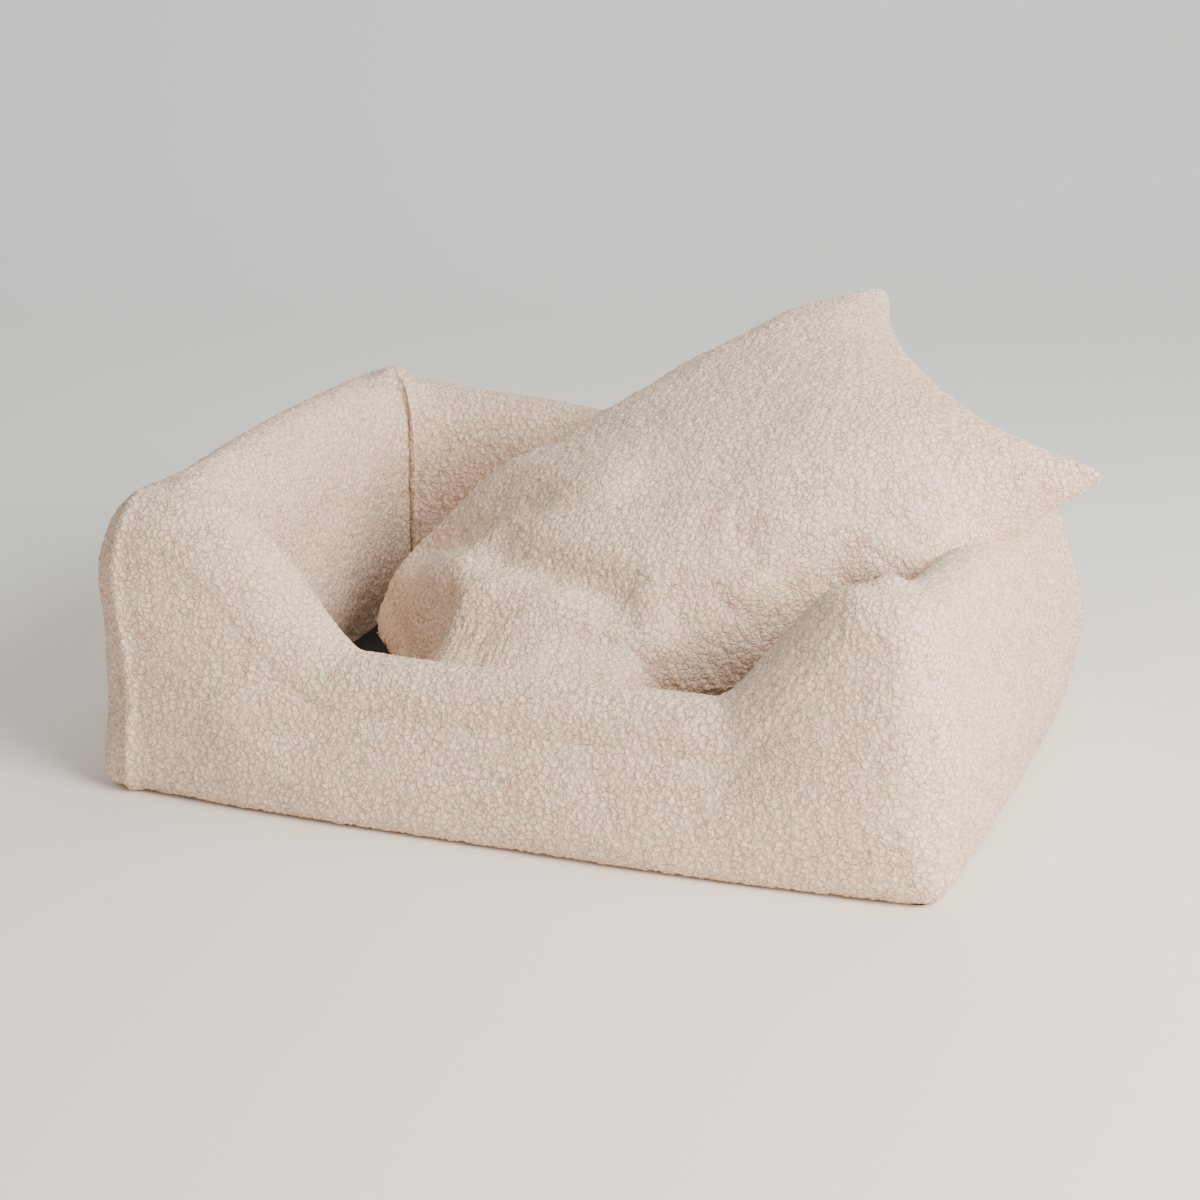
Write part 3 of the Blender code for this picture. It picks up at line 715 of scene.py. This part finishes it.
def tape_material():
    """Cream herringbone tape."""
    made, tree, shader = material("zip_tape_weave", (0.62, 0.54, 0.46), 0.8, sheen=0.2)
    place = node(tree, "ShaderNodeNewGeometry").outputs["Position"]
    rows = node(
        tree,
        "ShaderNodeTexWave",
        [("Vector", place)],
        bands_direction="DIAGONAL",
        values={"Scale": 420, "Distortion": 0.8, "Detail": 1},
    ).outputs["Fac"]
    color = ramp(tree, rows, [(0.1, (0.46, 0.385, 0.31)), (0.9, (0.68, 0.60, 0.515))])
    bump = node(tree, "ShaderNodeBump", [("Height", rows)], values={"Strength": 0.5, "Distance": 0.0003})
    tree.links.new(color, shader.inputs["Base Color"])
    tree.links.new(bump.outputs["Normal"], shader.inputs["Normal"])
    return made


def mottled(name, dark, light, roughness, scale, depth, metallic=0.0):
    """A surface with fine grain: colour, roughness and height all follow one noise."""
    made, tree, shader = material(name, light, roughness, metallic)
    place = node(tree, "ShaderNodeNewGeometry").outputs["Position"]
    grain = node(
        tree, "ShaderNodeTexNoise", [("Vector", place)],
        values={"Scale": scale, "Detail": 3, "Roughness": 0.6},
    ).outputs["Fac"]
    color = ramp(tree, grain, [(0.3, dark), (0.7, light)])
    rough = node(tree, "ShaderNodeMapRange", [("Value", grain)])
    rough.inputs["To Min"].default_value = roughness - 0.1
    rough.inputs["To Max"].default_value = min(roughness + 0.1, 1.0)
    bump = node(tree, "ShaderNodeBump", [("Height", grain)], values={"Strength": 0.3, "Distance": depth})
    tree.links.new(color, shader.inputs["Base Color"])
    tree.links.new(rough.outputs["Result"], shader.inputs["Roughness"])
    tree.links.new(bump.outputs["Normal"], shader.inputs["Normal"])
    return made


fleece = fleece_material()
lining = black_fabric("black_lining_weave", False)
underside = black_fabric("non_slip_weave", True)
tape = tape_material()
coil = mottled("nylon_coil", (0.50, 0.43, 0.35), (0.66, 0.58, 0.50), 0.45, 1500, 0.0001)
nickel = mottled("nickel", (0.50, 0.49, 0.47), (0.66, 0.65, 0.62), 0.32, 2200, 0.00005, 1.0)
foam = mottled("open_cell_foam", (0.62, 0.60, 0.50), (0.86, 0.84, 0.74), 0.95, 900, 0.0006)

smooth_trees = []
walls = [
    build_wall("front", HALF_LENGTH, HALF_DEPTH, 0, ("front_left", "front_right")),
    build_wall("right", HALF_DEPTH, HALF_LENGTH, math.pi / 2, ("front_right", "back_right")),
    build_wall("back", HALF_LENGTH, HALF_DEPTH, math.pi, ("back_right", "back_left")),
    build_wall("left", HALF_DEPTH, HALF_LENGTH, -math.pi / 2, ("back_left", "front_left")),
]
cushion = build_cushion(smooth_trees)
for piece in (*walls, cushion):
    piece.data.materials.append(fleece)



def build_lining():
    """The bed's floor: black fabric with slight wrinkles over a soft pad."""
    low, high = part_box("base_lining")
    count_x, count_y = int((high.x - low.x) / 0.005), int((high.y - low.y) / 0.005)
    xs, ys = np.meshgrid(
        np.linspace(low.x, high.x, count_x), np.linspace(low.y, high.y, count_y), indexing="ij"
    )
    places = np.stack([xs, ys, 0 * xs], axis=-1).reshape(-1, 3)
    ripples = smooth_noise(places, 0.060, 41)[:, 0] + 0.6 * smooth_noise(places, 0.021, 42)[:, 0]
    dips = 0.0003 * (ripples - 1.6)  # never down to the pad
    top = places + np.stack([0 * dips, 0 * dips, high.z + dips], axis=-1)
    base = places + (0, 0, low.z - 0.006)
    size = len(places)
    faces = []
    for i in range(count_x - 1):
        for j in range(count_y - 1):
            k = i * count_y + j
            faces.append((k, k + count_y, k + count_y + 1, k + 1))
            faces.append((size + k, size + k + 1, size + k + count_y + 1, size + k + count_y))
    rim = [j for j in range(count_y)] + [i * count_y + count_y - 1 for i in range(1, count_x)]
    rim += [(count_x - 1) * count_y + j for j in range(count_y - 2, -1, -1)]
    rim += [i * count_y for i in range(count_x - 2, 0, -1)]
    faces += [(a, b, size + b, size + a) for a, b in zip(rim, rim[1:] + rim[:1])]
    made = make_mesh("floor_lining", np.concatenate([top, base]), faces)
    made.data.materials.append(lining)
    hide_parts("base_lining")
    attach(made, "root")


def build_coil(prefix, name, place, along, outward, length, body):
    """One half of a zip's coil: a flattened helix of nylon, laid along its tape."""
    pitch, wire, ring, steps = 0.0013, 0.00034, 5, 9
    across = Vector(outward).cross(along)
    turns = int(length / pitch)
    angle = np.arange(turns * steps + 1) * 2 * np.pi / steps
    run = (angle / (2 * np.pi) - turns / 2) * pitch
    centre = (
        np.array(place)
        + np.outer(run, along)
        + np.outer(0.00085 * np.cos(angle), across)
        + np.outer(0.00048 * np.sin(angle), outward)
    )
    forward = np.gradient(centre, axis=0)
    forward /= np.linalg.norm(forward, axis=1, keepdims=True)
    side = np.cross(forward, np.array(along)[None])
    side /= np.linalg.norm(side, axis=1, keepdims=True)
    lift = np.cross(forward, side)
    turn = np.arange(ring) * 2 * np.pi / ring
    points = centre[:, None] + wire * (
        np.cos(turn)[None, :, None] * side[:, None] + np.sin(turn)[None, :, None] * lift[:, None]
    )
    last = len(centre) - 1
    faces = [
        (i * ring + j, i * ring + (j + 1) % ring, (i + 1) * ring + (j + 1) % ring, (i + 1) * ring + j)
        for i in range(last)
        for j in range(ring)
    ]
    faces += [tuple(range(ring - 1, -1, -1)), tuple(last * ring + j for j in range(ring))]
    made = make_mesh(f"{prefix}_zip_teeth_{name}", points.reshape(-1, 3), faces)
    made.data.materials.append(coil)
    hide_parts(f"{prefix}_zip_coil_{name}")
    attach(made, body)


def build_coils():
    """The coils' places come from their CAD bars."""
    turn = cushion_frame().to_3x3()
    cross, away = turn @ Vector((0, 1, 0)), turn @ Vector((-1, 0, 0))
    for name in ("upper", "lower"):
        low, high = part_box(f"bed_zip_coil_{name}")
        length = high.x - low.x
        build_coil("bed", name, (low + high) / 2, Vector((1, 0, 0)), Vector((0, 1, 0)), length, "root")
        low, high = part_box(f"cushion_zip_coil_{name}")
        build_coil("cushion", name, (low + high) / 2, cross, away, CUSHION_COIL_LENGTH, "cushion")


def finish_nodes():
    """Materials for the CAD nodes that show."""
    for name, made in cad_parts.items():
        choice = None
        if "tape" in name:
            choice = tape
        elif "stop" in name or "slider" in name or "pull" in name:
            choice = nickel
        elif name == "base_underside":
            choice = underside
        elif name == "base_pad":
            choice = foam
        if choice:
            made.data.materials.clear()
            made.data.materials.append(choice)


build_lining()
build_coils()
finish_nodes()

# ---------------------------------------------------------------- stage, light and camera


CAMERA_AZIMUTH = math.radians(20.344)  # from the front wall's face
CAMERA_ELEVATION = math.radians(18.617)
CAMERA_AIM = (-0.0368, 0.0624, 0.12)
CAMERA_DISTANCE = 2.7908
CAMERA_LENS = 82.443
SWEEP_START = 1.9  # from the origin to where the floor starts to rise
SWEEP_RADIUS = 1.6
STAGE_HALF_WIDTH = 6.0


def build_stage():
    """Floor that sweeps up into a backdrop."""
    profile = [(-5.0, 0.0), (SWEEP_START, 0.0)]
    for angle in np.linspace(0.05, math.pi / 2, 24):
        rise = SWEEP_RADIUS * (1 - math.cos(angle))
        profile.append((SWEEP_START + SWEEP_RADIUS * math.sin(angle), rise))
    profile.append((SWEEP_START + SWEEP_RADIUS, 6.0))
    turn = Matrix.Rotation(CAMERA_AZIMUTH, 3, "Z")
    points = [turn @ Vector((x, y, z)) for y, z in profile for x in (-STAGE_HALF_WIDTH, STAGE_HALF_WIDTH)]
    faces = [(2 * i, 2 * i + 1, 2 * i + 3, 2 * i + 2) for i in range(len(profile) - 1)]
    floor = make_mesh("studio_floor", points, faces)
    made, tree, shader = material("studio_paper", (0.80, 0.77, 0.73), 0.9)
    place = node(tree, "ShaderNodeNewGeometry").outputs["Position"]
    level = node(tree, "ShaderNodeVectorMath", [(0, place)], operation="DOT_PRODUCT")
    level.inputs[1].default_value = (-math.sin(CAMERA_AZIMUTH), math.cos(CAMERA_AZIMUTH), 0.35)
    shade = node(tree, "ShaderNodeMapRange", [("Value", level.outputs["Value"])])
    shade.inputs["From Min"].default_value = -0.9
    shade.inputs["From Max"].default_value = 2.2
    color = ramp(tree, shade.outputs["Result"], [(0.0, (0.93, 0.835, 0.735)), (1.0, (0.84, 0.865, 0.830))])
    tree.links.new(color, shader.inputs["Base Color"])
    floor.data.materials.append(made)


def area_light(name, place, aim, size, power, color):
    data = bpy.data.lights.new(name, "AREA")
    data.shape = "DISK"
    data.size = size
    data.energy = power
    data.color = color
    lamp = bpy.data.objects.new(name, data)
    bpy.context.scene.collection.objects.link(lamp)
    lamp.location = place
    lamp.rotation_mode = "QUATERNION"
    lamp.rotation_quaternion = (Vector(aim) - Vector(place)).to_track_quat("-Z", "Y")


def build_light():
    world = bpy.data.worlds.new("studio")
    world.use_nodes = True
    world.node_tree.nodes["Background"].inputs["Color"].default_value = (0.985, 0.985, 1.0, 1)
    world.node_tree.nodes["Background"].inputs["Strength"].default_value = 0.52
    bpy.context.scene.world = world
    area_light("key", (2.2, -0.95, 1.6), (0.0, 0.1, 0.1), 1.8, 165, (1.0, 0.950, 0.895))
    area_light("top", (0.2, 1.2, 2.8), (0.0, 0.2, 0.0), 2.4, 22, (1.0, 0.985, 0.96))


def build_camera():
    azimuth, elevation = CAMERA_AZIMUTH, CAMERA_ELEVATION
    back = Vector(
        (
            math.sin(azimuth) * math.cos(elevation),
            -math.cos(azimuth) * math.cos(elevation),
            math.sin(elevation),
        )
    )
    data = bpy.data.cameras.new("camera")
    data.sensor_width = 36.0
    data.lens = CAMERA_LENS
    camera = bpy.data.objects.new("camera", data)
    bpy.context.scene.collection.objects.link(camera)
    camera.location = Vector(CAMERA_AIM) + back * CAMERA_DISTANCE
    camera.rotation_mode = "QUATERNION"
    camera.rotation_quaternion = (-back).to_track_quat("-Z", "Y")
    bpy.context.scene.camera = camera


build_stage()
build_light()
build_camera()
